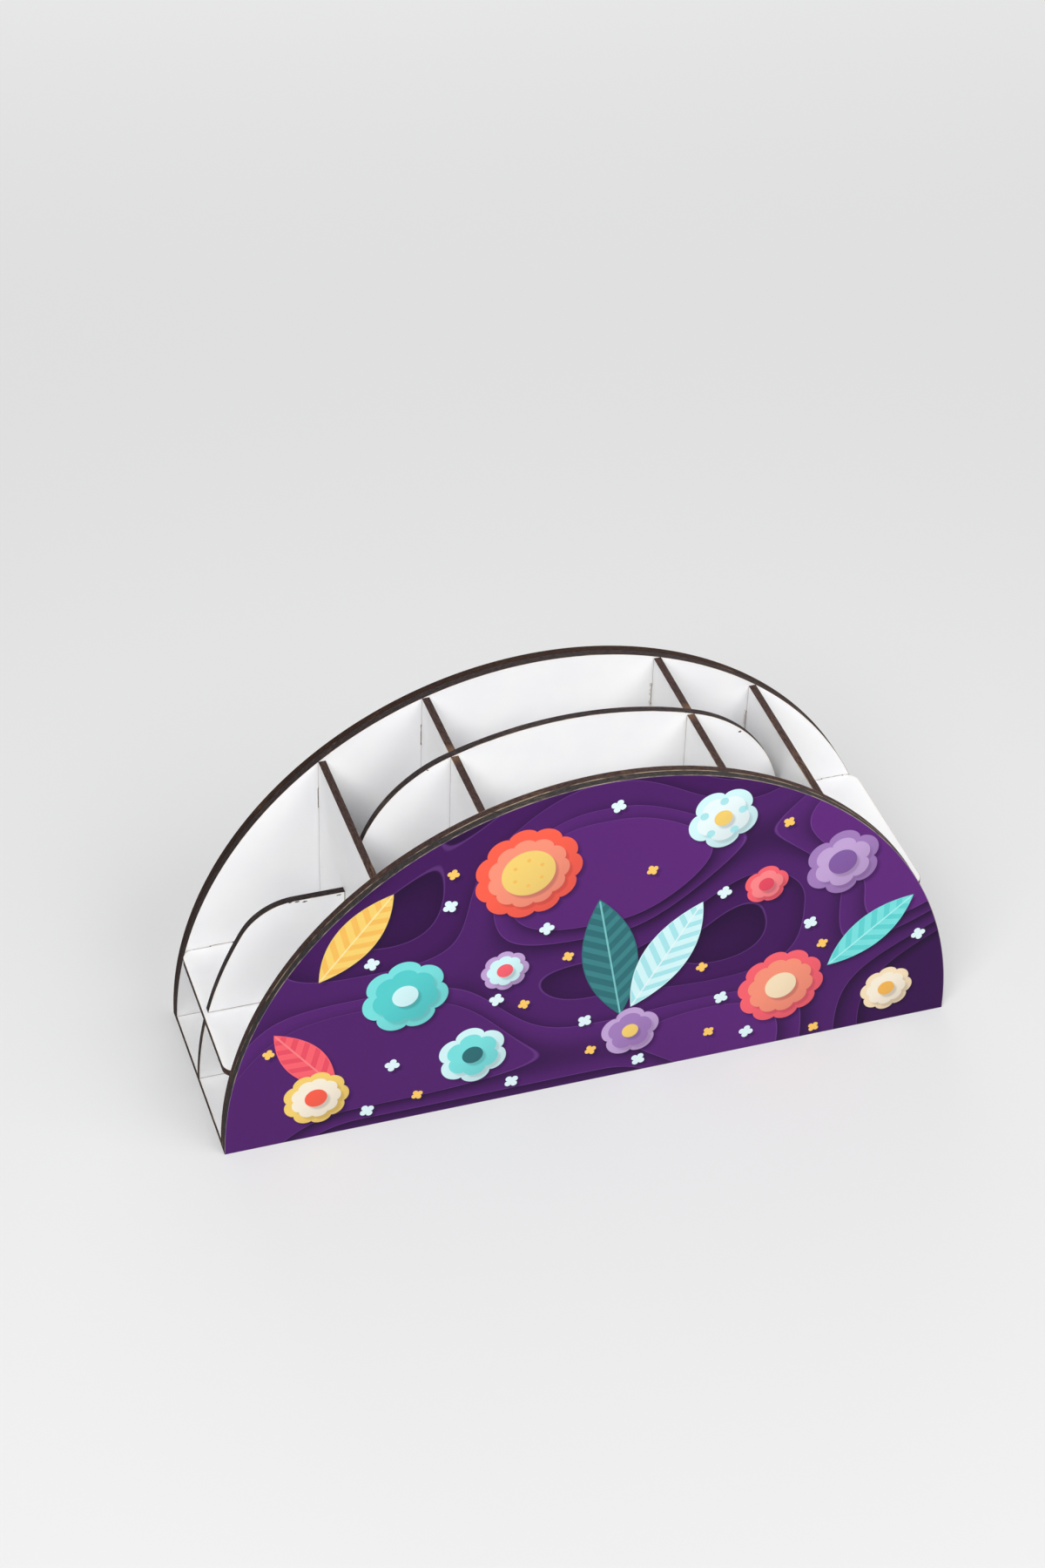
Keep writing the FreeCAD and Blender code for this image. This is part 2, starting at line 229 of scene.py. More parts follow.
def ring_surface(loop, marks, profile, is_hole):
    """Vertices in rows: row r is the loop moved inwards by profile[r, 0], at height profile[r, 1].

    Returns the vertices, each one's inward, deep, hole and meets numbers, the quads, and each quad
    corner's length along the loop and across the profile.
    """
    rows, columns = len(profile), len(loop)
    inset, height = profile.T
    flat = loop[None] + inset[:, None, None] * inset_directions(loop)[None]
    vertices = np.concatenate([flat.reshape(-1, 2), np.repeat(height, columns)[:, None]], axis=1)
    deep = HALF_BOARD - np.abs(height)
    inward = np.where(np.isclose(deep, 0), inset, 0)
    numbers = np.stack([np.repeat(inward, columns), np.repeat(deep, columns),
                        np.full(rows * columns, float(is_hole)), np.tile(marks, rows)], axis=1)
    along, across = (np.cumsum([0, *np.linalg.norm(np.diff(line, axis=0), axis=1)])
                     for line in (np.concatenate([loop, loop[:1]]), profile))
    row, column = np.meshgrid(np.arange(rows - 1), np.arange(columns), indexing="ij")
    around = [(row, column), (row + 1, column), (row + 1, column + 1), (row, column + 1)]
    quads = np.stack([r * columns + c % columns for r, c in around], axis=-1).reshape(-1, 4)
    corners = np.stack([np.stack([along[c], across[r]], axis=-1) for r, c in around], axis=2)
    return vertices, numbers, quads, corners.reshape(-1, 2)


def fill_face(loops):
    """Triangles between an outer loop and its holes, as corner numbers in the loops' order.

    A Delaunay net joins all corners, with the loops' edges in it. A triangle is kept where a ray
    from its middle to the right crosses an odd number of those edges.
    """
    corners = np.round(np.concatenate(loops) / MM, 4)
    ends = np.cumsum([len(loop) for loop in loops])
    ahead = np.arange(1, len(corners) + 1)
    ahead[ends - 1] = ends - [len(loop) for loop in loops]
    edges = np.stack([np.arange(len(corners)), ahead], axis=1)
    points = [Vector(corner) for corner in corners.tolist()]
    triangles = np.array(delaunay_2d_cdt(points, edges.tolist(), [], 0, SAME_PLACE_MM)[2])
    x, y = corners[triangles].mean(axis=1).T[..., None]
    (start_x, start_y), (end_x, end_y) = corners[edges[:, 0]].T, corners[edges[:, 1]].T
    straddles = (start_y > y) != (end_y > y)
    rise = np.where(start_y == end_y, 1, end_y - start_y)
    right_of = start_x + (y - start_y) * (end_x - start_x) / rise > x
    return triangles[np.sum(straddles & right_of, axis=1) % 2 == 1]


print("triangles in a square:", len(fill_face([square])))

# %% Join the rings and the faces


def board_surface(loops, marks):
    """Vertices, numbers, faces and along_cut places: ringed edges, and both faces filled."""
    profile = board_profile()
    rings = [ring_surface(loop, mark, profile, index > 0)
             for index, (loop, mark) in enumerate(zip(loops, marks))]
    starts = np.cumsum([0] + [len(ring[0]) for ring in rings])
    vertices, numbers = (np.concatenate([ring[part] for ring in rings]) for part in (0, 1))
    quads = np.concatenate([ring[2] + start for ring, start in zip(rings, starts)])
    front_ids, back_ids = (
        np.concatenate([np.arange(len(loop)) + row * len(loop) + start
                        for start, loop in zip(starts, loops)]) for row in (0, len(profile) - 1))
    triangles = fill_face([ring[0][:len(loop), :2] for ring, loop in zip(rings, loops)])
    filled = np.concatenate([front_ids[triangles], back_ids[triangles[:, ::-1]]])
    corners = np.concatenate([ring[3] for ring in rings] + [vertices[filled.ravel(), :2]])
    return vertices, numbers, quads.tolist() + filled.tolist(), corners


def place_in_scene(name, data):
    """A new object in the scene that shows some data."""
    item = bpy.data.objects.new(name, data)
    bpy.context.collection.objects.link(item)
    return item


def make_board(name, plane, middle, outline, holes, meets, smoke):
    """A closed board whose middle plane goes through a point, with its material's numbers."""
    outline, marks = mark_meetings(outline, meets)
    loops = [outline] + [np.array(hole) for hole in holes]
    marks = [marks] + [np.zeros(len(hole)) for hole in holes]
    vertices, numbers, faces, corners = board_surface(loops, marks)
    mesh = bpy.data.meshes.new(name)
    mesh.from_pydata((vertices @ np.array(PLANES[plane]).T + np.array(middle)).tolist(), [], faces)
    mesh.uv_layers.new(name="along_cut").data.foreach_set("uv", (corners / MM).ravel())
    inward, deep, hole, meeting = numbers.T
    layers = {"inward": inward / MM, "deep": deep / MM, "hole": hole, "meets": meeting,
              "smoke": np.full(len(vertices), smoke)}
    for label, values in layers.items():
        mesh.attributes.new(label, "FLOAT", "POINT").data.foreach_set("value", values)
    mesh.shade_smooth()
    mesh.set_sharp_from_angle(angle=SHARP)
    mesh.update()
    print(f"{name}: {len(vertices)} vertices, {len(faces)} faces")
    return place_in_scene(name, mesh)


# %% [markdown]
# ## The boards' shapes
# The four half discs share one outline. The inner two are pierced where tabs come through, so the
# scorched seams fall where the tabs truly are.

# %% Tab places


def divider_tabs(top):
    """Low and high ends of a divider's lower and upper tabs."""
    low = BOARD + LOWER_TAB_RISE
    high = top - UPPER_TAB_DROP
    return (low, low + DIVIDER_TAB), (high - DIVIDER_TAB, high)


def shelf_tabs(reach, gap):
    """Inner and outer ends of a shelf's tabs, outwards from the middle of the width."""
    near = OUTER_FACE + INNER_TAB_GAP
    far = reach - SHELF_CORNER - gap
    return (near, near + SHELF_TAB), (far - SHELF_TAB, far)


BASE_TABS = (-BASE_TAB_X, 0, BASE_TAB_X)
FOOT_PLACES = (-BETWEEN, 0, BETWEEN)
print("an outer divider's upper tab starts at", round(divider_tabs(OUTER_TOP)[1][0] / MM, 1), "mm")

# %% Half discs
SEAM = 0.1 * MM


def half_disc(tabs=()):
    """The big circle from right to left, and an underside notched for the base board's tabs."""
    half = BASE_TAB / 2 + FIT
    underside = [notch(centre - half, centre + half, 0, BOARD + FIT) for centre in tabs]
    return walk(rim(0, RADIUS), rim(RADIUS, 0, side=-1), *underside)


def mortises():
    """Holes for the dividers' and the shelves' tabs, a seam's width larger than the tabs."""
    half = HALF_BOARD + SEAM
    holes = []
    for x, top in ((INNER_X, INNER_TOP), (OUTER_X, OUTER_TOP)):
        for low, high in divider_tabs(top):
            holes += [notch(centre - half, centre + half, low - SEAM, high + SEAM)
                      for centre in (-x, x)]
    for near, far in shelf_tabs(FLOOR_REACH, LEFT_TAB_GAP):
        holes.append(notch(-far - SEAM, -near + SEAM, FLOOR_LOW - SEAM, FLOOR_TOP + SEAM))
    for near, far in shelf_tabs(SHELF_REACH, RIGHT_TAB_GAP):
        holes.append(notch(near - SEAM, far + SEAM, SHELF_LOW - SEAM, SHELF_TOP + SEAM))
    return holes


print("holes in an inner board:", len(mortises()))

# %% Middle panel


def middle_outline():
    """Arch, left shoulder and right ledge, slotted for dividers and from the left for the floor.

    The slots for the inner dividers open below, so the arch runs on over them. Those for the outer
    ones open above. A fillet of radius f inside the big circle R touches it where the line through
    both centres meets it, so the fillet's centre lies R - f from the origin.
    """
    arch_x = ARCH_SIDE - ARCH_FILLET
    arch_z = math.sqrt((RADIUS - ARCH_FILLET) ** 2 - arch_x ** 2)
    arch_turn = math.atan2(arch_z, arch_x)
    shoulder_z = SHOULDER_TOP - SHOULDER_FILLET
    shoulder_x = -math.sqrt((RADIUS - SHOULDER_FILLET) ** 2 - shoulder_z ** 2)
    shoulder_turn = math.atan2(shoulder_z, shoulder_x)
    near, far = INNER_X - HALF_SLOT, INNER_X + HALF_SLOT
    edge = OUTER_X + HALF_SLOT
    floor_low, floor_top = FLOOR_LOW - FIT, FLOOR_TOP + FIT
    underside = [notch(centre - FOOT / 2, centre + FOOT / 2, BOARD, 0) for centre in FOOT_PLACES]
    underside += [notch(-far, -near, BOARD, INNER_MEETING), notch(near, far, BOARD, INNER_MEETING)]
    return walk(
        rim(BOARD, SHELF_LOW),
        [(edge, SHELF_LOW), (edge, RIGHT_MEETING), (ARCH_SIDE, RIGHT_MEETING)],
        arc((arch_x, arch_z), ARCH_FILLET, 0, arch_turn),
        arc((0, 0), RADIUS, arch_turn, math.pi - arch_turn),
        arc((-arch_x, arch_z), ARCH_FILLET, math.pi - arch_turn, math.pi),
        [(-ARCH_SIDE, LEFT_MEETING), (-edge, LEFT_MEETING), (-edge, SHOULDER_TOP)],
        arc((shoulder_x, shoulder_z), SHOULDER_FILLET, math.pi / 2, shoulder_turn),
        arc((0, 0), RADIUS, shoulder_turn, math.pi - math.asin(floor_top / RADIUS)),
        [(-FLOOR_LAP, floor_top), (-FLOOR_LAP, floor_low)],
        rim(floor_low, BOARD, side=-1),
        *sorted(underside),
    )


print("middle panel's outline has", len(middle_outline()), "points")

# %% Dividers, base and shelves


def divider_outline(top, meeting, opens_above=False):
    """An upright rectangle with feet, a slot to or from half way up, and two tabs in each end."""
    foot = notch(CELL_MIDDLE - FOOT / 2, CELL_MIDDLE + FOOT / 2, BOARD, 0)
    below, above = [(HALF_SLOT, meeting), (HALF_SLOT, BOARD)], []
    if opens_above:
        below, above = [], [(HALF_SLOT, top), (HALF_SLOT, meeting)]
    tabs = [(y, z) for tab in divider_tabs(top) for z, y in notch(*tab, ROOM, ROOM + BOARD)]
    right_half = below + foot + [(ROOM, BOARD)] + tabs + [(ROOM, top)] + above
    return walk(right_half, [(-y, z) for y, z in reversed(right_half)])


def base_outline():
    """The floor's rectangle with three tabs along the front and three along the back."""
    side = math.sqrt(RADIUS ** 2 - BOARD ** 2)
    half = BASE_TAB / 2
    front = [corner for centre in BASE_TABS
             for corner in notch(centre - half, centre + half, -ROOM, -ROOM - BOARD)]
    back = [(-x, -y) for x, y in front]
    return walk([(-side, -ROOM)], front, [(side, -ROOM), (side, ROOM)], back, [(-side, ROOM)])


def base_holes():
    """Mortises for the dividers' and the middle panel's feet."""
    long, wide = FOOT / 2 + SEAM, HALF_BOARD + SEAM
    holes = [notch(x - wide, x + wide, y - long, y + long)
             for x in (-OUTER_X, -INNER_X, INNER_X, OUTER_X) for y in (-CELL_MIDDLE, CELL_MIDDLE)]
    return holes + [notch(x - long, x + long, -wide, wide) for x in FOOT_PLACES]


def shelf_outline(reach, gap, lap=None):
    """A level board right of a divider: rounded outer corners, tabs, and a slot if it has a lap."""
    front = [corner for tab in shelf_tabs(reach, gap)
             for corner in notch(*tab, -ROOM, -ROOM - BOARD)]
    corner_x, corner_y = reach - SHELF_CORNER, ROOM - SHELF_CORNER
    slot = [(x, y) for y, x in notch(HALF_SLOT, -HALF_SLOT, OUTER_FACE, lap)] if lap else []
    return walk(
        [(OUTER_FACE, -ROOM)], front,
        arc((corner_x, -corner_y), SHELF_CORNER, -math.pi / 2, 0),
        arc((corner_x, corner_y), SHELF_CORNER, 0, math.pi / 2),
        [(x, -y) for x, y in reversed(front)], [(OUTER_FACE, ROOM)], slot,
    )


print("divider outline points:", len(divider_outline(OUTER_TOP, LEFT_MEETING)))

# %% [markdown]
# ## Writing materials as formulas
# Wired by hand, a formula such as a flower's outline takes dozens of nodes and can't be read. So a
# Field stands for a number that a material works out at every point of the surface, and adding or
# multiplying two Fields adds the node that does it.

# %% Fields


class Field:
    """A number at every point of a surface. Arithmetic on it adds Math nodes to its tree."""

    def __init__(self, tree, socket):
        self.tree = tree
        self.socket = socket

    def join(self, operation, *others):
        """One Math node fed by this field and others."""
        node = new_node(self.tree, "Math")
        node.operation = operation
        for slot, value in zip(node.inputs, (self, *others)):
            plug(self.tree, value, slot)
        return Field(self.tree, node.outputs[0])

    def __rsub__(self, other):
        return self.join("MULTIPLY_ADD", -1.0, other)

    def __rtruediv__(self, other):
        return self.join("POWER", -1.0) * other

    def ease(self, low, high):
        """0 below low, 1 above high, and an S-shaped climb between."""
        node = new_node(self.tree, "MapRange", Value=self, From_Min=low, From_Max=high)
        node.interpolation_type = "SMOOTHSTEP"
        return Field(self.tree, node.outputs["Result"])


for method, operation in {
    "__add__": "ADD", "__radd__": "ADD", "__sub__": "SUBTRACT", "__mul__": "MULTIPLY",
    "__rmul__": "MULTIPLY", "__truediv__": "DIVIDE", "size": "ABSOLUTE", "power": "POWER",
    "larger": "MAXIMUM", "smaller": "MINIMUM", "cos": "COSINE", "sin": "SINE",
}.items():
    setattr(Field, method, partialmethod(Field.join, operation))


def plug(tree, value, slot):
    """Link a Field or an output to a socket, or write a plain number or colour there."""
    if isinstance(value, Field):
        value = value.socket
    if isinstance(value, bpy.types.NodeSocket):
        tree.links.new(value, slot)
    else:
        slot.default_value = value


def new_node(tree, kind, **sockets):
    """A shader node and what goes into its sockets. An underscore stands for a space."""
    node = tree.nodes.new(f"ShaderNode{kind}")
    for label, value in sockets.items():
        plug(tree, value, node.inputs[label.replace("_", " ")])
    return node


print("math methods:", len([name for name in vars(Field) if name != "__init__"]))

# %% Colours and textures
COLOUR_SOCKETS = 6, 7


def colour(red, green, blue):
    """Linear colour from the 0 to 255 values that a colour picker shows."""
    picked = np.array([red, green, blue]) / 255
    linear = np.where(picked <= 0.04045, picked / 12.92, ((picked + 0.055) / 1.055) ** 2.4)
    return (*linear.tolist(), 1.0)


def blend(tree, factor, under, over):
    """Colour over laid on colour under where factor is 1."""
    node = new_node(tree, "Mix")
    node.data_type = "RGBA"
    plug(tree, factor, node.inputs[0])
    for slot, paint in zip(COLOUR_SOCKETS, (under, over)):
        plug(tree, paint, node.inputs[slot])
    return node.outputs[2]


def noise(tree, vector, scale, detail=3, roughness=0.55):
    """Cloudy noise from 0 to 1. scale is its number of clumps per millimetre."""
    node = new_node(tree, "TexNoise", Vector=vector, Scale=scale, Detail=detail,
                    Roughness=roughness)
    return Field(tree, node.outputs[0])


def stretched(tree, vector, scale):
    """A vector with each of its axes multiplied."""
    return new_node(tree, "Mapping", Vector=vector, Scale=scale).outputs[0]


def attribute(tree, name):
    """A number stored on the mesh."""
    node = new_node(tree, "Attribute")
    node.attribute_name = name
    return Field(tree, node.outputs["Fac"])


def components(tree, vector):
    """A vector's three numbers as Fields."""
    split = new_node(tree, "SeparateXYZ", Vector=vector)
    return [Field(tree, split.outputs[axis]) for axis in "XYZ"]


def reach(across, up):
    """Distance from the middle: the root of across^2 + up^2."""
    return (across * across + up * up).power(0.5)


def new_material(name):
    """An empty node material with its shader, and the millimetre coordinates on the object."""
    material = bpy.data.materials.new(name)
    material.use_nodes = True
    tree = material.node_tree
    place = new_node(tree, "TexCoord").outputs["Object"]
    return material, tree, tree.nodes["Principled BSDF"], stretched(tree, place, [1 / MM] * 3)


print("a mid grey in linear numbers:", round(colour(128, 128, 128)[0], 3))

# %% [markdown]
# ## The laser's cut
# A laser leaves the fibre core charred: dark brown or smoky grey, streaked along the board because
# the fibres lie flat, and lighter where the char flaked off. Beside a slot the beam turns, and the
# inner dividers' tops go ochre there. The first quarter of a millimetre is melamine. It shows as a
# ragged cream line in some stretches and is sooted over in the rest. The pattern follows the cut
# through the along_cut map, so it bends with the arcs.

# %% Burnt core
# A set holds the darkest, the usual and the lightest tone.
UMBER = (colour(33, 20, 15), colour(61, 41, 31), colour(108, 80, 54))
BROWN = (colour(46, 34, 31), colour(82, 63, 59), colour(124, 94, 70))
SMOKY = (colour(36, 31, 32), colour(66, 58, 58), colour(102, 88, 78))
GREENISH = (colour(42, 40, 40), colour(72, 67, 67), colour(114, 102, 84))
# Painted shade in part: the char grows darker and sootier towards the left end, partly as real char
# and partly as painted shade, as though the left end lay in shadow.
LEFT_END_SHADE_AND_CHAR = 0.0004
INNER_DIVIDERS_END = 60


def burnt_core(tree, millimetres, darker, usual, smoky):
    """Colour and height of the charred cut, from the tone sets for smoke at -1, 0 and 1."""
    smoke = attribute(tree, "smoke")
    char, bark, ochre = (blend(tree, smoke, blend(tree, smoke + 1, low, middle), high)
                         for low, middle, high in zip(darker, usual, smoky))
    cut = new_node(tree, "UVMap")
    cut.uv_map = "along_cut"
    along_cut = cut.outputs[0]
    fibres = noise(tree, stretched(tree, along_cut, (0.2, 1.6, 1)), 1.5, detail=4, roughness=0.6)
    mottle = noise(tree, stretched(tree, along_cut, (0.6, 1, 1)), 1.1, detail=2, roughness=0.5)
    tone = noise(tree, millimetres, 0.05, detail=2)
    x, y, z = components(tree, millimetres)
    # Painted shade in part: the grain darkens towards the left.
    grain = (fibres * 0.6 + mottle * 0.4 + x * LEFT_END_SHADE_AND_CHAR).ease(0.34, 0.68)
    flaked = tone.ease(0.52, 0.68) * fibres.ease(0.46, 0.62)
    beside_slot = y.size().ease(1.55, 1.7) * (1 - y.size().ease(2.0, 7.0))
    beside_slot = beside_slot * x.size().join("LESS_THAN", INNER_DIVIDERS_END)
    coloured = blend(tree, grain, char, bark)
    lighter = (flaked * 0.5).larger(beside_slot * (fibres * 0.5 + 0.35))
    return blend(tree, lighter, coloured, ochre), fibres * 0.7 + mottle * 0.5


print("tones in a set:", len(BROWN))

# %% Face, skin and char
SHEEN = 0.12
CHAR_RELIEF = 0.25
CREAM_SKIN = colour(182, 162, 136)


def finish_board(tree, shader, millimetres, face, face_roughness, core, core_height):
    """Join a face and a core. Past the face comes a skin that is cream or sooty, then the char."""
    deep = attribute(tree, "deep")
    x, y, z = components(tree, millimetres)
    # Painted shade in part: more soot towards the left.
    sooted = y.ease(-36, -30) * 0.1 + y.ease(0, 30) * 0.1 - x * LEFT_END_SHADE_AND_CHAR
    clean = noise(tree, millimetres, 0.12, detail=3).ease(sooted + 0.38, sooted + 0.6)
    skin = blend(tree, clean * 0.8, core, CREAM_SKIN)
    ragged = deep + core_height * 0.4
    cut = blend(tree, ragged.ease(0.3, 0.62), skin, core)
    charred = deep.ease(0.0, 0.03)
    relief = new_node(tree, "Bump", Distance=CHAR_RELIEF * MM, Height=core_height * charred)
    plug(tree, blend(tree, charred, face, cut), shader.inputs["Base Color"])
    plug(tree, face_roughness + charred * 0.4, shader.inputs["Roughness"])
    plug(tree, relief.outputs[0], shader.inputs["Normal"])
    shader.inputs["Specular IOR Level"].default_value = SHEEN


print("the char stands up by", CHAR_RELIEF, "mm at most")

# %% [markdown]
# ## White melamine
# The faces are a hard white finish: nearly even, faintly pearled, with a soft sheen. Along the cut
# a slightly warmer line is painted as the highlight that the edge catches, and round the mortises
# the heat scorches the white to brown and cream. Where a board butts against another, a dark line
# of painted shade runs down the corner, where the crease holds shadow. A few chips show the core,
# most of them under the middle panel's shoulder.

# %% Worn places
# Ellipses on the middle panel's front: centre, half width and half height in millimetres.
WORN = ((-91.4, 83.1, 1.7, 0.6), (-104.6, 83.0, 1.6, 0.6), (-107.6, 83.6, 1.7, 0.6),
        (-110.2, 83.8, 1.2, 0.5), (-57, 135.6, 0.8, 0.5), (67.3, 127.2, 1.2, 0.7))


def worn_places(tree, millimetres):
    """1 at the middle of the worn places, fading to 0 at their elliptic edges."""
    x, y, z = components(tree, millimetres)
    worn = 0
    for centre_x, centre_z, half_width, half_height in WORN:
        across, up = (x - centre_x) / half_width, (z - centre_z) / half_height
        worn = (1 - reach(across, up)).larger(worn)
    return worn * (1 - (y + HALF_BOARD / MM).size().ease(0.1, 0.3))


print("worn places:", len(WORN))

# %% White board


def white_board():
    """Melamine with a warm painted highlight along the cut, painted shade in the corners where
    boards meet, scorched holes and rare chips, over a burnt core.
    """
    material, tree, shader, millimetres = new_material("white_melamine_board")
    inward, hole, meets = (attribute(tree, name) for name in ("inward", "hole", "meets"))
    cloud = noise(tree, millimetres, 0.05, detail=2)
    speckle = noise(tree, millimetres, 1.4, detail=2)
    patchy = noise(tree, millimetres, 0.45, detail=3)
    face = blend(tree, cloud.ease(0.3, 0.7), colour(240, 240, 242), colour(243, 243, 243))
    face = blend(tree, speckle.ease(0.62, 0.75) * 0.25, face, colour(234, 234, 236))
    # Painted highlight: a slightly warmer line along the cut, where the edge's bevel catches light.
    painted_edge_highlight = 1 - inward.ease(0.3, 0.7)
    face = blend(tree, painted_edge_highlight * (1 - hole), face, colour(242, 236, 231))
    # Painted shade: beside an edge that butts against another board, a dark grey line is painted on
    # the face where the crease holds shadow.
    corner = meets.power(4) * (1 - inward.ease(0.18, 0.5)) * (patchy * 0.5 + 0.4)
    face = blend(tree, corner, face, colour(104, 96, 93))
    scorch = hole * (1 - inward.ease(0.12, 0.5))
    face = blend(tree, scorch * patchy.ease(0.32, 0.5), face, colour(222, 200, 172))
    burnt = hole * (1 - inward.ease(0.1, 0.3)) * patchy.ease(0.38, 0.5)
    face = blend(tree, burnt, face, colour(110, 84, 66))
    x, y, z = components(tree, millimetres)
    right_tabs = x.ease(30, 40) * (1 - x.ease(92, 94))
    halo = (1 - (inward - 0.72).size().ease(0.06, 0.2)) * right_tabs * patchy.ease(0.44, 0.54)
    face = blend(tree, hole * halo * 0.8, face, colour(176, 152, 124))
    bits = noise(tree, millimetres, 0.9, detail=3)
    seldom = noise(tree, millimetres, 0.03, detail=1).ease(0.68, 0.72)
    chips = bits.ease(0.64, 0.67) * seldom * (1 - inward.ease(0.4, 0.9))
    flakes = noise(tree, stretched(tree, millimetres, (0.7, 1, 1.8)), 1.8, detail=2)
    chips = chips.larger((flakes * 0.9 + worn_places(tree, millimetres)).ease(0.84, 0.92))
    bare = blend(tree, patchy.ease(0.4, 0.6), colour(70, 58, 54), colour(136, 126, 120))
    face = blend(tree, chips, face, bare)
    core, height = burnt_core(tree, millimetres, UMBER, BROWN, SMOKY)
    finish_board(tree, shader, millimetres, face, 0.36 + speckle * 0.08, core, height)
    return material


WHITE = white_board()
print("white board nodes:", len(WHITE.node_tree.nodes))

# %% [markdown]
# ## The printed front
# The front carries a bright print in the style of cut paper: layers of purple with soft shadows
# under their edges, and flat flowers and leaves. Everything is a formula of the place in
# millimetres, so it stays sharp at any size.
#
# A shape is how far a point lies inside its outline. It is laid down twice: blurred and a little to
# the lower right as a shadow, then sharp. Each kind is built once, as a node group with numbers to
# turn, and stamped wherever the picture wants one, which keeps the tree small.

# %% Cut paper
SHADOW_SHIFT = 1.3, -1.7
SHADOW = colour(28, 6, 44)
HALF_EDGE = 0.12


class Paper:
    """A picture that grows as shapes are laid on it. x and z are places in millimetres."""

    def __init__(self, tree, picture, x, z):
        self.tree = tree
        self.picture = picture
        self.x = x
        self.z = z

    def lay(self, shape, paint, shadow=2.6, strength=0.55):
        """Shade what lies under a shape, then lay it on. shape(x, z) is the distance inside it."""
        moved = shape(self.x - SHADOW_SHIFT[0], self.z - SHADOW_SHIFT[1])
        dark = moved.ease(-shadow * 0.5, shadow * 0.7) * strength
        self.picture = blend(self.tree, dark, self.picture, SHADOW)
        self.stain(shape(self.x, self.z), paint)

    def stain(self, inside, paint, amount=1.0):
        """Paint where inside is above zero, with no shadow."""
        mask = inside.ease(-HALF_EDGE, HALF_EDGE) * amount
        self.picture = blend(self.tree, mask, self.picture, paint)

    def stamp(self, group, *values):
        """Lay a node group's shape, with its numbers and paints in the order of its sockets."""
        node = new_node(self.tree, "Group")
        node.node_tree = group
        for slot, value in zip(node.inputs, (self.picture, self.x, self.z, *values)):
            plug(self.tree, value, slot)
        self.picture = node.outputs[0]


def new_stamp(name, numbers, paints):
    """An empty stamp: a Paper on its node group, and lists of its numbers and paints."""
    numbers, paints = numbers.split(), paints.split()
    group = bpy.data.node_groups.new(name, "ShaderNodeTree")
    sockets = [("Picture", "Color")] + [(label, "Float") for label in ("X", "Z", *numbers)]
    sockets += [(label, "Color") for label in paints]
    for label, kind in sockets:
        group.interface.new_socket(label, in_out="INPUT", socket_type=f"NodeSocket{kind}")
    group.interface.new_socket("Picture", in_out="OUTPUT", socket_type="NodeSocketColor")
    entry = group.nodes.new("NodeGroupInput").outputs
    x, z, *knobs = (Field(group, entry[label]) for label in ("X", "Z", *numbers))
    return Paper(group, entry["Picture"], x, z), knobs, [entry[label] for label in paints]


def close_stamp(paper):
    """The stamp's node group, once the drawn picture goes to its output."""
    out = paper.tree.nodes.new("NodeGroupOutput")
    paper.tree.links.new(paper.picture, out.inputs["Picture"])
    return paper.tree


print("shadows fall by", SHADOW_SHIFT, "mm")

# %% Outlines of flowers and leaves


def flower(centre_x, centre_z, radius, petals, depth, turn):
    """Distance inside round petals:
    radius * (1 - depth + depth * |cos(petals * angle / 2)| ^ 0.6) - reach."""
    def distance(x, z):
        across, up = x - centre_x, z - centre_z
        far = reach(across, up)
        angle = up.join("ARCTAN2", across) + turn
        swell = (angle * petals * 0.5).cos().size().power(0.6)
        return (swell - 1) * depth * radius + radius - far
    return distance


def disc(centre_x, centre_z, radius):
    """Distance inside a circle."""
    return lambda x, z: reach(x - centre_x, z - centre_z) * -1 + radius


def leaf(centre_x, centre_z, length, width, turn):
    """Places along and across a leaf, and the distance inside two parabolas back to back:
    width / 2 * (1 - (along / half length) ^ 2) - |across|."""
    def distance(x, z):
        right, up = x - centre_x, z - centre_z
        along = right * turn.cos() + up * turn.sin()
        across = up * turn.cos() - right * turn.sin()
        taper = along / length * 2
        return (1 - taper * taper) * width * 0.5 - across.size(), along, across.size()
    return distance


# %% Stamps
INNER_RING = 0.76
STRIPE = 6.5


def bloom_stamp():
    """Two rings of petals and a round heart, all a little darker to the lower right."""
    paper, knobs, (outer, inner, middle) = new_stamp(
        "bloom", "Across Up Radius Petals Depth Turn Heart", "Outer Inner Middle")
    across, up, radius, *form, heart = knobs
    outline = flower(across, up, radius, *form)
    paper.lay(outline, outer)
    paper.lay(flower(across, up, radius * INNER_RING, *form), inner, shadow=1.2, strength=0.22)
    paper.lay(disc(across, up, radius * heart), middle, shadow=1.2, strength=0.3)
    lower_right = ((paper.x - across - paper.z + up) / radius).ease(-0.6, 1.5)
    paper.stain(outline(paper.x, paper.z), colour(60, 16, 66), lower_right * 0.2)
    return close_stamp(paper)


def leaf_stamp():
    """A leaf with darker slanted stripes and a pale midrib."""
    paper, knobs, (body, stripe, rib) = new_stamp(
        "veined_leaf", "Across Up Length Width Turn", "Body Stripe Rib")
    outline = leaf(*knobs)
    paper.lay(lambda x, z: outline(x, z)[0], body)
    inside, along, across = outline(paper.x, paper.z)
    stripes = ((along - across * 0.8) * (FULL_TURN / STRIPE)).sin() * 1.1 - 0.15
    paper.stain(stripes.smaller(inside - 0.4), stripe, 0.75)
    paper.stain((0.35 - across).smaller(inside - 0.6), rib, 0.9)
    return close_stamp(paper)


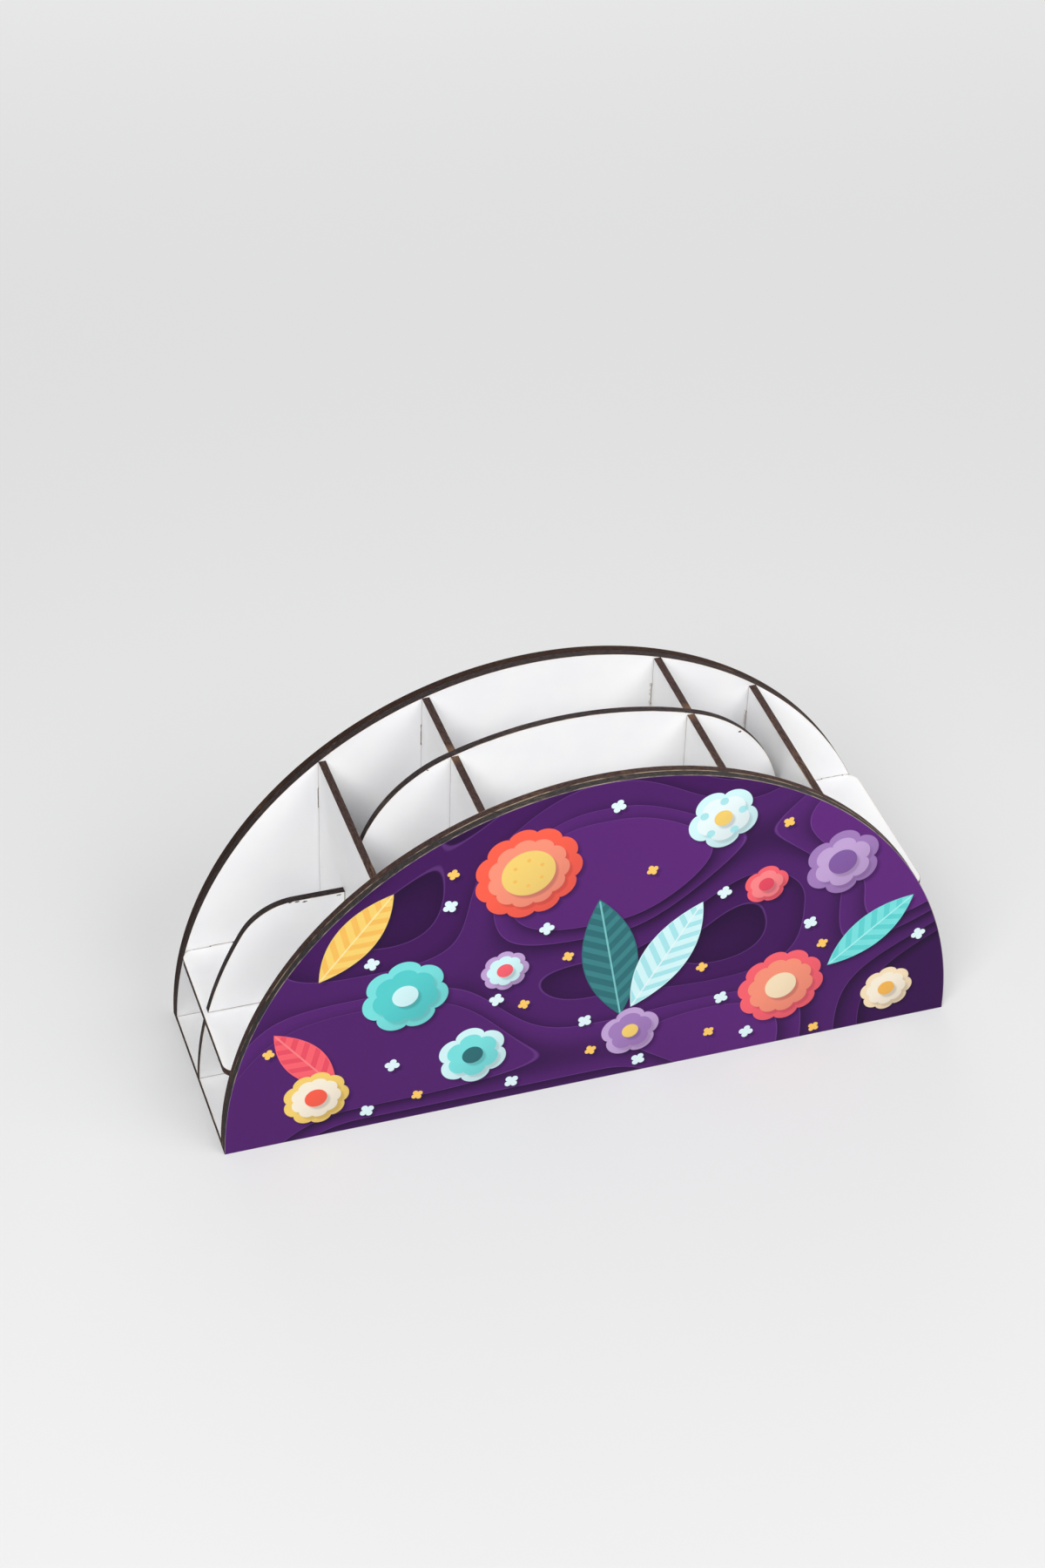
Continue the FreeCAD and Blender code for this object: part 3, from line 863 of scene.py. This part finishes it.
def dot_stamp():
    """Round marks in a ring of a radius: one mark, repeated by folding the angle."""
    paper, knobs, (paint,) = new_stamp("dots", "Across Up Ring Count Size Turn", "Paint")
    centre_x, centre_z, ring, count, radius, turn = knobs
    across, up = paper.x - centre_x, paper.z - centre_z
    far = reach(across, up)
    part = FULL_TURN / count
    angle = (up.join("ARCTAN2", across) + turn + 2 * FULL_TURN) / part
    folded = (angle.join("FRACT") - 0.5) * part
    aside, out = folded.sin() * far, folded.cos() * far - ring
    paper.stain(reach(aside, out) * -1 + radius, paint, 0.8)
    return close_stamp(paper)


def sparkle_stamp():
    """A tiny flower of four petals."""
    paper, knobs, (paint,) = new_stamp("sparkle", "Across Up Radius Turn", "Paint")
    *place_and_radius, turn = knobs
    paper.lay(flower(*place_and_radius, 4, 0.5, turn), paint, shadow=1.6, strength=0.45)
    return close_stamp(paper)


BLOOM, LEAF, DOTS, SPARKLE = bloom_stamp(), leaf_stamp(), dot_stamp(), sparkle_stamp()
print("nodes in the bloom stamp:", len(BLOOM.nodes))

# %% Layers of paper
LAYER_SPREAD = 92, 70
LAYERS = ((0.42, colour(82, 33, 107)), (0.47, colour(74, 28, 98)), (0.55, colour(64, 20, 86)),
          (0.62, colour(52, 12, 72)))
DEEPEST = colour(26, 4, 39)
LIP_DROP = 0.0014


def paper_layers(paper, millimetres):
    """Four steps down into ever deeper purple, along contour lines of a slow noise."""
    tree = paper.tree
    wide, high = LAYER_SPREAD
    slow = noise(tree, stretched(tree, millimetres, (1 / wide, 0, 1 / high)), 1.0, detail=0)
    shifted = new_node(tree, "CombineXYZ", X=(paper.x - SHADOW_SHIFT[0]) / wide,
                       Z=(paper.z - SHADOW_SHIFT[1]) / high)
    moved = noise(tree, shifted.outputs[0], 1.0, detail=0)
    for level, paint in LAYERS:
        below = slow.ease(level - 0.0008, level + 0.0008)
        shade = (1 - moved.ease(level - 0.03, level + 0.06)).power(1.5) * 0.95
        deeper = blend(tree, shade, paint, DEEPEST)
        lip = (1 - (slow - (level - LIP_DROP)).size().ease(0.0004, 0.0016)) * 0.25
        paper.picture = blend(tree, lip, paper.picture, colour(128, 84, 156))
        paper.picture = blend(tree, below, paper.picture, deeper)


print("layers:", len(LAYERS))

# %% Places of the sparkles
ICY_SPARKLES = ((4, 136), (-60, 103), (-22, 83), (49, 84), (-90, 82), (86, 60), (-41, 52),
                (133, 43), (-82, 29), (-5, 32), (51, 30), (-92, 8), (-34, 8), (18, 6), (63, 9))
AMBER_SPARKLES = ((-59, 118), (19, 102), (73, 113), (-13, 67), (-30, 47), (42, 48), (92, 48),
                  (-130, 47), (-72, 11), (-2, 16), (47, 13), (92, 4))
print("sparkles:", len(ICY_SPARKLES + AMBER_SPARKLES))

# %% Colours of the print
CORAL = (colour(244, 95, 74), colour(242, 143, 117), colour(239, 204, 112))
ICE = (colour(206, 240, 242), colour(228, 242, 243), colour(146, 218, 224))
LILAC = (colour(158, 122, 182), colour(190, 160, 208), colour(128, 90, 158))
TEAL = (colour(118, 219, 217), colour(84, 201, 200), colour(170, 236, 234))
ROSE = (colour(241, 97, 108), colour(243, 131, 134), colour(224, 72, 93))
AMBER = (colour(241, 204, 108), colour(239, 178, 83), colour(243, 223, 160))
SLATE = (colour(46, 106, 112), colour(62, 132, 136), colour(124, 196, 196))
CREAM = (colour(242, 220, 184), colour(238, 200, 154), colour(243, 233, 212))
print("paints in a set:", len(CORAL))

# %% The picture
# A leaf has its place, length, width and turn, a bloom its place, radius, petals, depth, turn and
# heart, and dots their place, ring, count, size and turn. Paints come last.
PICTURE = (
    (LEAF, -96, 96, 46, 17, 0.9, *AMBER),
    (LEAF, 4, 62, 62, 22, 1.75, *SLATE),
    (LEAF, 27, 58, 54, 20, 1.05, ICE[0], ICE[2], ICE[1]),
    (BLOOM, -30, 112, 21, 11, 0.10, 0, 0.5, *CORAL),
    (DOTS, -30, 112, 6, 6, 0.8, 0, AMBER[1]),
    (BLOOM, 46, 121, 14, 5, 0.22, 0.3, 0.26, ICE[0], ICE[1], AMBER[0]),
    (DOTS, 46, 121, 8, 5, 1.7, 0.3, ICE[2]),
    (BLOOM, -77, 63, 17, 7, 0.16, 0.2, 0.3, TEAL[0], TEAL[1], ICE[0]),
    (BLOOM, 97, 88, 15.5, 6, 0.2, 0.5, 0.38, *LILAC),
    (BLOOM, 66, 84, 9, 5, 0.18, 1.0, 0.35, *ROSE),
    (BLOOM, -38, 66, 9.5, 8, 0.14, 0, 0.34, LILAC[1], ICE[0], ROSE[0]),
    (LEAF, -116, 40, 40, 15, 2.2, ROSE[0], ROSE[2], ROSE[1]),
    (BLOOM, -112, 20, 13, 9, 0.12, 0, 0.34, AMBER[0], CREAM[2], CORAL[0]),
    (LEAF, 112, 50, 44, 16, 0.7, *TEAL),
    (BLOOM, 76, 30, 18, 10, 0.12, 0.1, 0.36, ROSE[0], CORAL[1], CREAM[0]),
    (BLOOM, -50, 26, 14, 6, 0.2, 0.4, 0.3, ICE[0], TEAL[0], SLATE[0]),
    (BLOOM, 14, 22, 12, 5, 0.2, 0.9, 0.28, LILAC[1], LILAC[0], AMBER[0]),
    (BLOOM, 122, 17, 11, 8, 0.14, 0, 0.32, CREAM[0], CREAM[2], AMBER[1]),
)


def printed_picture(tree, millimetres):
    """The whole picture, from the ground up."""
    x, y, z = components(tree, millimetres)
    lighter = (x / 260 + z / 420 + 0.3).ease(0.0, 1.0)
    paper = Paper(tree, blend(tree, lighter, colour(78, 31, 102), colour(93, 38, 118)), x, z)
    paper_layers(paper, millimetres)
    for across, up in ICY_SPARKLES:
        paper.stamp(SPARKLE, across, up, 3.0, (across + up) / 40, colour(220, 240, 243))
    for across, up in AMBER_SPARKLES:
        paper.stamp(SPARKLE, across, up, 2.4, (across - up) / 40, colour(247, 198, 100))
    for group, *values in PICTURE:
        paper.stamp(group, *values)
    return paper.picture


print("shapes in the picture:", len(PICTURE))

# %% Printed board


def printed_board():
    """The print under a satin coat, a fine light line painted along its edge as a highlight, over a
    greyer core.
    """
    material, tree, shader, millimetres = new_material("printed_board")
    picture = printed_picture(tree, millimetres)
    facing = components(tree, new_node(tree, "NewGeometry").outputs["True Normal"])
    face = blend(tree, facing[1].join("LESS_THAN", -0.5), colour(222, 216, 208), picture)
    inward = attribute(tree, "inward")
    # Painted highlight: a fine light line along the cut, where the edge catches light.
    face = blend(tree, (1 - inward.ease(0.12, 0.35)) * 0.5, face, colour(178, 160, 188))
    weave = noise(tree, millimetres, 2.2, detail=2)
    core, height = burnt_core(tree, millimetres, UMBER, GREENISH, SMOKY)
    finish_board(tree, shader, millimetres, face, 0.42 + weave * 0.1, core, height)
    return material


PRINTED = printed_board()
print("printed board nodes:", len(PRINTED.node_tree.nodes))

# %% [markdown]
# ## Assemble the boards
# Each dressed board stands for one CAD board, rides on the rigid body and lies exactly in place.

# %% Which edges meet another board
HAIR = 0.01 * MM


def divider_meets(y, z):
    """Ends, slot and underside of a divider."""
    slot = (np.abs(y) < HALF_SLOT + HAIR) & (z < OUTER_TOP - HAIR)
    return (np.abs(y) > ROOM - HAIR) | slot | (z < BOARD + HAIR)


def middle_meets(x, z):
    """Slots for the dividers and the floor, the ledge under the shelf, and the underside."""
    side = np.abs(x)
    inner = (np.abs(side - INNER_X) < HALF_SLOT + HAIR) & (z < INNER_MEETING + HAIR)
    outer = (np.abs(side - OUTER_X) < HALF_SLOT + HAIR) & (z < SHOULDER_TOP + BOARD)
    ledge = (x > OUTER_X) & (np.abs(z - SHELF_LOW) < HAIR)
    beside_floor = (z > FLOOR_LOW - FIT - HAIR) & (z < FLOOR_TOP + FIT + HAIR)
    floor_slot = (x < -FLOOR_LAP + HAIR) & beside_floor
    return inner | outer | ledge | floor_slot | (z < BOARD + HAIR)


def shelf_meets(x, y):
    """The long sides, the end at the divider, and the floor's slot."""
    slot = (np.abs(y) < HALF_SLOT + HAIR) & (np.abs(x) < FLOOR_LAP + HAIR)
    return (np.abs(y) > ROOM - HAIR) | (np.abs(x) < OUTER_FACE + HAIR) | slot


def base_meets(x, y):
    """The long sides."""
    return np.abs(y) > ROOM - HAIR


print("edges meet within", HAIR / MM, "mm")

# %% Make and place the boards


def dress(node, plane, middle, outline, holes=(), finish=WHITE, meets=never, smoke=0.0):
    """Make the visible board for a CAD node."""
    piece = make_board(f"{node}_dressed", plane, middle, outline, holes, meets, smoke)
    piece.data.materials.append(finish)
    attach(piece, "root")
    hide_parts(node)
    return piece


dress("front_printed_panel", "XZ", (0, -ROOM - 1.5 * BOARD, 0), half_disc(), finish=PRINTED)
inner_disc = half_disc(BASE_TABS)
dress("front_inner_panel", "XZ", (0, -ROOM - HALF_BOARD, 0), inner_disc, mortises())
dress("middle_panel", "XZ", (0, 0, 0), middle_outline(), meets=middle_meets, smoke=0.9)
dress("back_inner_panel", "XZ", (0, ROOM + HALF_BOARD, 0), inner_disc, mortises(), smoke=0.8)
dress("back_cover_panel", "XZ", (0, ROOM + 1.5 * BOARD, 0), half_disc(), smoke=-1.0)
dress("base_board", "XY", (0, 0, HALF_BOARD), base_outline(), base_holes(), meets=base_meets,
      smoke=0.4)

# %% Dividers and shelves
for node, x, top, meeting, opens_above in (
    ("divider_outer_left", -OUTER_X, OUTER_TOP, LEFT_MEETING, False),
    ("divider_inner_left", -INNER_X, INNER_TOP, INNER_MEETING, True),
    ("divider_inner_right", INNER_X, INNER_TOP, INNER_MEETING, True),
    ("divider_outer_right", OUTER_X, OUTER_TOP, RIGHT_MEETING, False),
):
    dress(node, "YZ", (x, 0, 0), divider_outline(top, meeting, opens_above), meets=divider_meets)

for node, ends, outline in (
    ("left_floor", (FLOOR_LOW, FLOOR_TOP), -shelf_outline(FLOOR_REACH, LEFT_TAB_GAP, FLOOR_LAP)),
    ("right_shelf", (SHELF_LOW, SHELF_TOP), shelf_outline(SHELF_REACH, RIGHT_TAB_GAP)),
):
    dress(node, "XY", (0, 0, sum(ends) / 2), outline, meets=shelf_meets, smoke=0.4)

# %% [markdown]
# ## Floor, light and camera
# White boards lose their shape under a hard lamp or an even sky. So the light is a soft lamp high
# on the left in front, which reaches down into the compartments, two weaker ones on the right for
# soft shadows beside the dividers, one behind for the back, and a dim white surround. No board
# turns plain white.
#
# The camera sees a paler floor than the light that bounces off it does. Near the object most of it
# is lit, which keeps the shadow. Further off it turns into the plain tone of the surround.

# %% Rays that should see white


def seen_directly(tree):
    """1 for rays from the camera, mirrored and refracted ones too, and 0 for bounced light."""
    ray = new_node(tree, "LightPath")
    camera, glossy, through = (Field(tree, ray.outputs[f"Is {kind} Ray"])
                               for kind in ("Camera", "Glossy", "Transmission"))
    return camera.larger(glossy).larger(through)


def mix_shaders(tree, share, first, second, output):
    """Show the first shader where share is 0 and the second where it is 1."""
    node = new_node(tree, "MixShader")
    for value, slot in zip((share, first.outputs[0], second.outputs[0]), node.inputs):
        plug(tree, value, slot)
    plug(tree, node.outputs[0], tree.nodes[output].inputs["Surface"])


# %% Floor
PALE = 0.88
FLOOR_BOUNCE = (0.5, 0.5, 0.5, 1)
FLOOR_SEEN = (0.70, 0.70, 0.705, 1)
FLOOR_RADIUS = 4
FADES_FROM, FADES_TO = 400, 1700
PLAIN_NEARBY = 0.3


def pale_floor():
    """A wide disc, lit near the object and as pale as the surround far off, so no edge shows."""
    angle = np.linspace(0, FULL_TURN, 96, endpoint=False)
    ring = FLOOR_RADIUS * np.stack([np.cos(angle), np.sin(angle), np.zeros_like(angle)], axis=1)
    mesh = bpy.data.meshes.new("floor")
    mesh.from_pydata(ring.tolist(), [], [list(range(len(ring)))])
    floor = place_in_scene("floor", mesh)
    material, tree, shader, millimetres = new_material("pale_floor")
    shader.inputs["Roughness"].default_value = 0.9
    shader.inputs["Specular IOR Level"].default_value = 0.1
    seen = seen_directly(tree)
    plug(tree, blend(tree, seen, FLOOR_BOUNCE, FLOOR_SEEN), shader.inputs["Base Color"])
    x, y, z = components(tree, millimetres)
    far = reach(x, y).ease(FADES_FROM, FADES_TO)
    plain = seen * (far * (1 - PLAIN_NEARBY) + PLAIN_NEARBY)
    mix_shaders(tree, plain, shader, new_node(tree, "Emission", Strength=PALE), "Material Output")
    mesh.materials.append(material)


pale_floor()
print("floor laid")

# %% Surround
WHITE_LIGHT = (1, 1, 1, 1)
world = bpy.data.worlds.new("studio")
bpy.context.scene.world = world
world.use_nodes = True
tree = world.node_tree
surround = tree.nodes["Background"]
surround.inputs["Color"].default_value = WHITE_LIGHT
surround.inputs["Strength"].default_value = 0.34
pale = new_node(tree, "Background", Color=WHITE_LIGHT, Strength=PALE)
mix_shaders(tree, seen_directly(tree), surround, pale, "World Output")
print("surround as the camera sees it:", PALE)

# %% Lamps
MIDDLE = (0, 0, RADIUS / 2)


def soft_lamp(name, place, width, watts):
    """A square area lamp aimed at the middle of the object."""
    data = bpy.data.lights.new(name, "AREA")
    data.size = width
    data.energy = watts
    lamp = place_in_scene(name, data)
    lamp.location = place
    lamp.rotation_euler = (Vector(MIDDLE) - Vector(place)).to_track_quat("-Z", "Y").to_euler()


soft_lamp("key_lamp", (-0.82, -0.98, 1.34), 0.8, 20)
soft_lamp("front_lamp", (0.44, -1.20, 1.34), 0.8, 10)
soft_lamp("side_lamp", (0.98, -0.82, 1.34), 0.8, 7)
soft_lamp("back_lamp", (0.3, 1.7, 0.35), 1.2, 12)

# %% Camera
AZIMUTH = math.radians(19.26)
ELEVATION = math.radians(38.54)
ROLL = math.radians(2.01)
LENS = 77.89
CAMERA_PLACE = Vector((-0.34835, -0.94234, 0.91472))


def add_camera():
    """A camera that looks along an azimuth and down by an elevation, rolled about its own axis."""
    level = math.cos(ELEVATION)
    forward = Vector((math.sin(AZIMUTH) * level, math.cos(AZIMUTH) * level, -math.sin(ELEVATION)))
    right = Vector((math.cos(AZIMUTH), -math.sin(AZIMUTH), 0))
    up = right.cross(forward)
    rolled_right = right * math.cos(ROLL) + up * math.sin(ROLL)
    rolled_up = up * math.cos(ROLL) - right * math.sin(ROLL)
    data = bpy.data.cameras.new("camera")
    data.lens = LENS
    data.sensor_width = 36
    data.clip_start = 0.01
    camera = place_in_scene("camera", data)
    turn = Matrix((rolled_right, rolled_up, -forward)).transposed()
    camera.matrix_world = Matrix.Translation(CAMERA_PLACE) @ turn.to_4x4()
    bpy.context.scene.camera = camera


add_camera()
bpy.context.scene.view_settings.view_transform = "Standard"
print("camera set")

# %% Finish
bpy.context.view_layer.update()
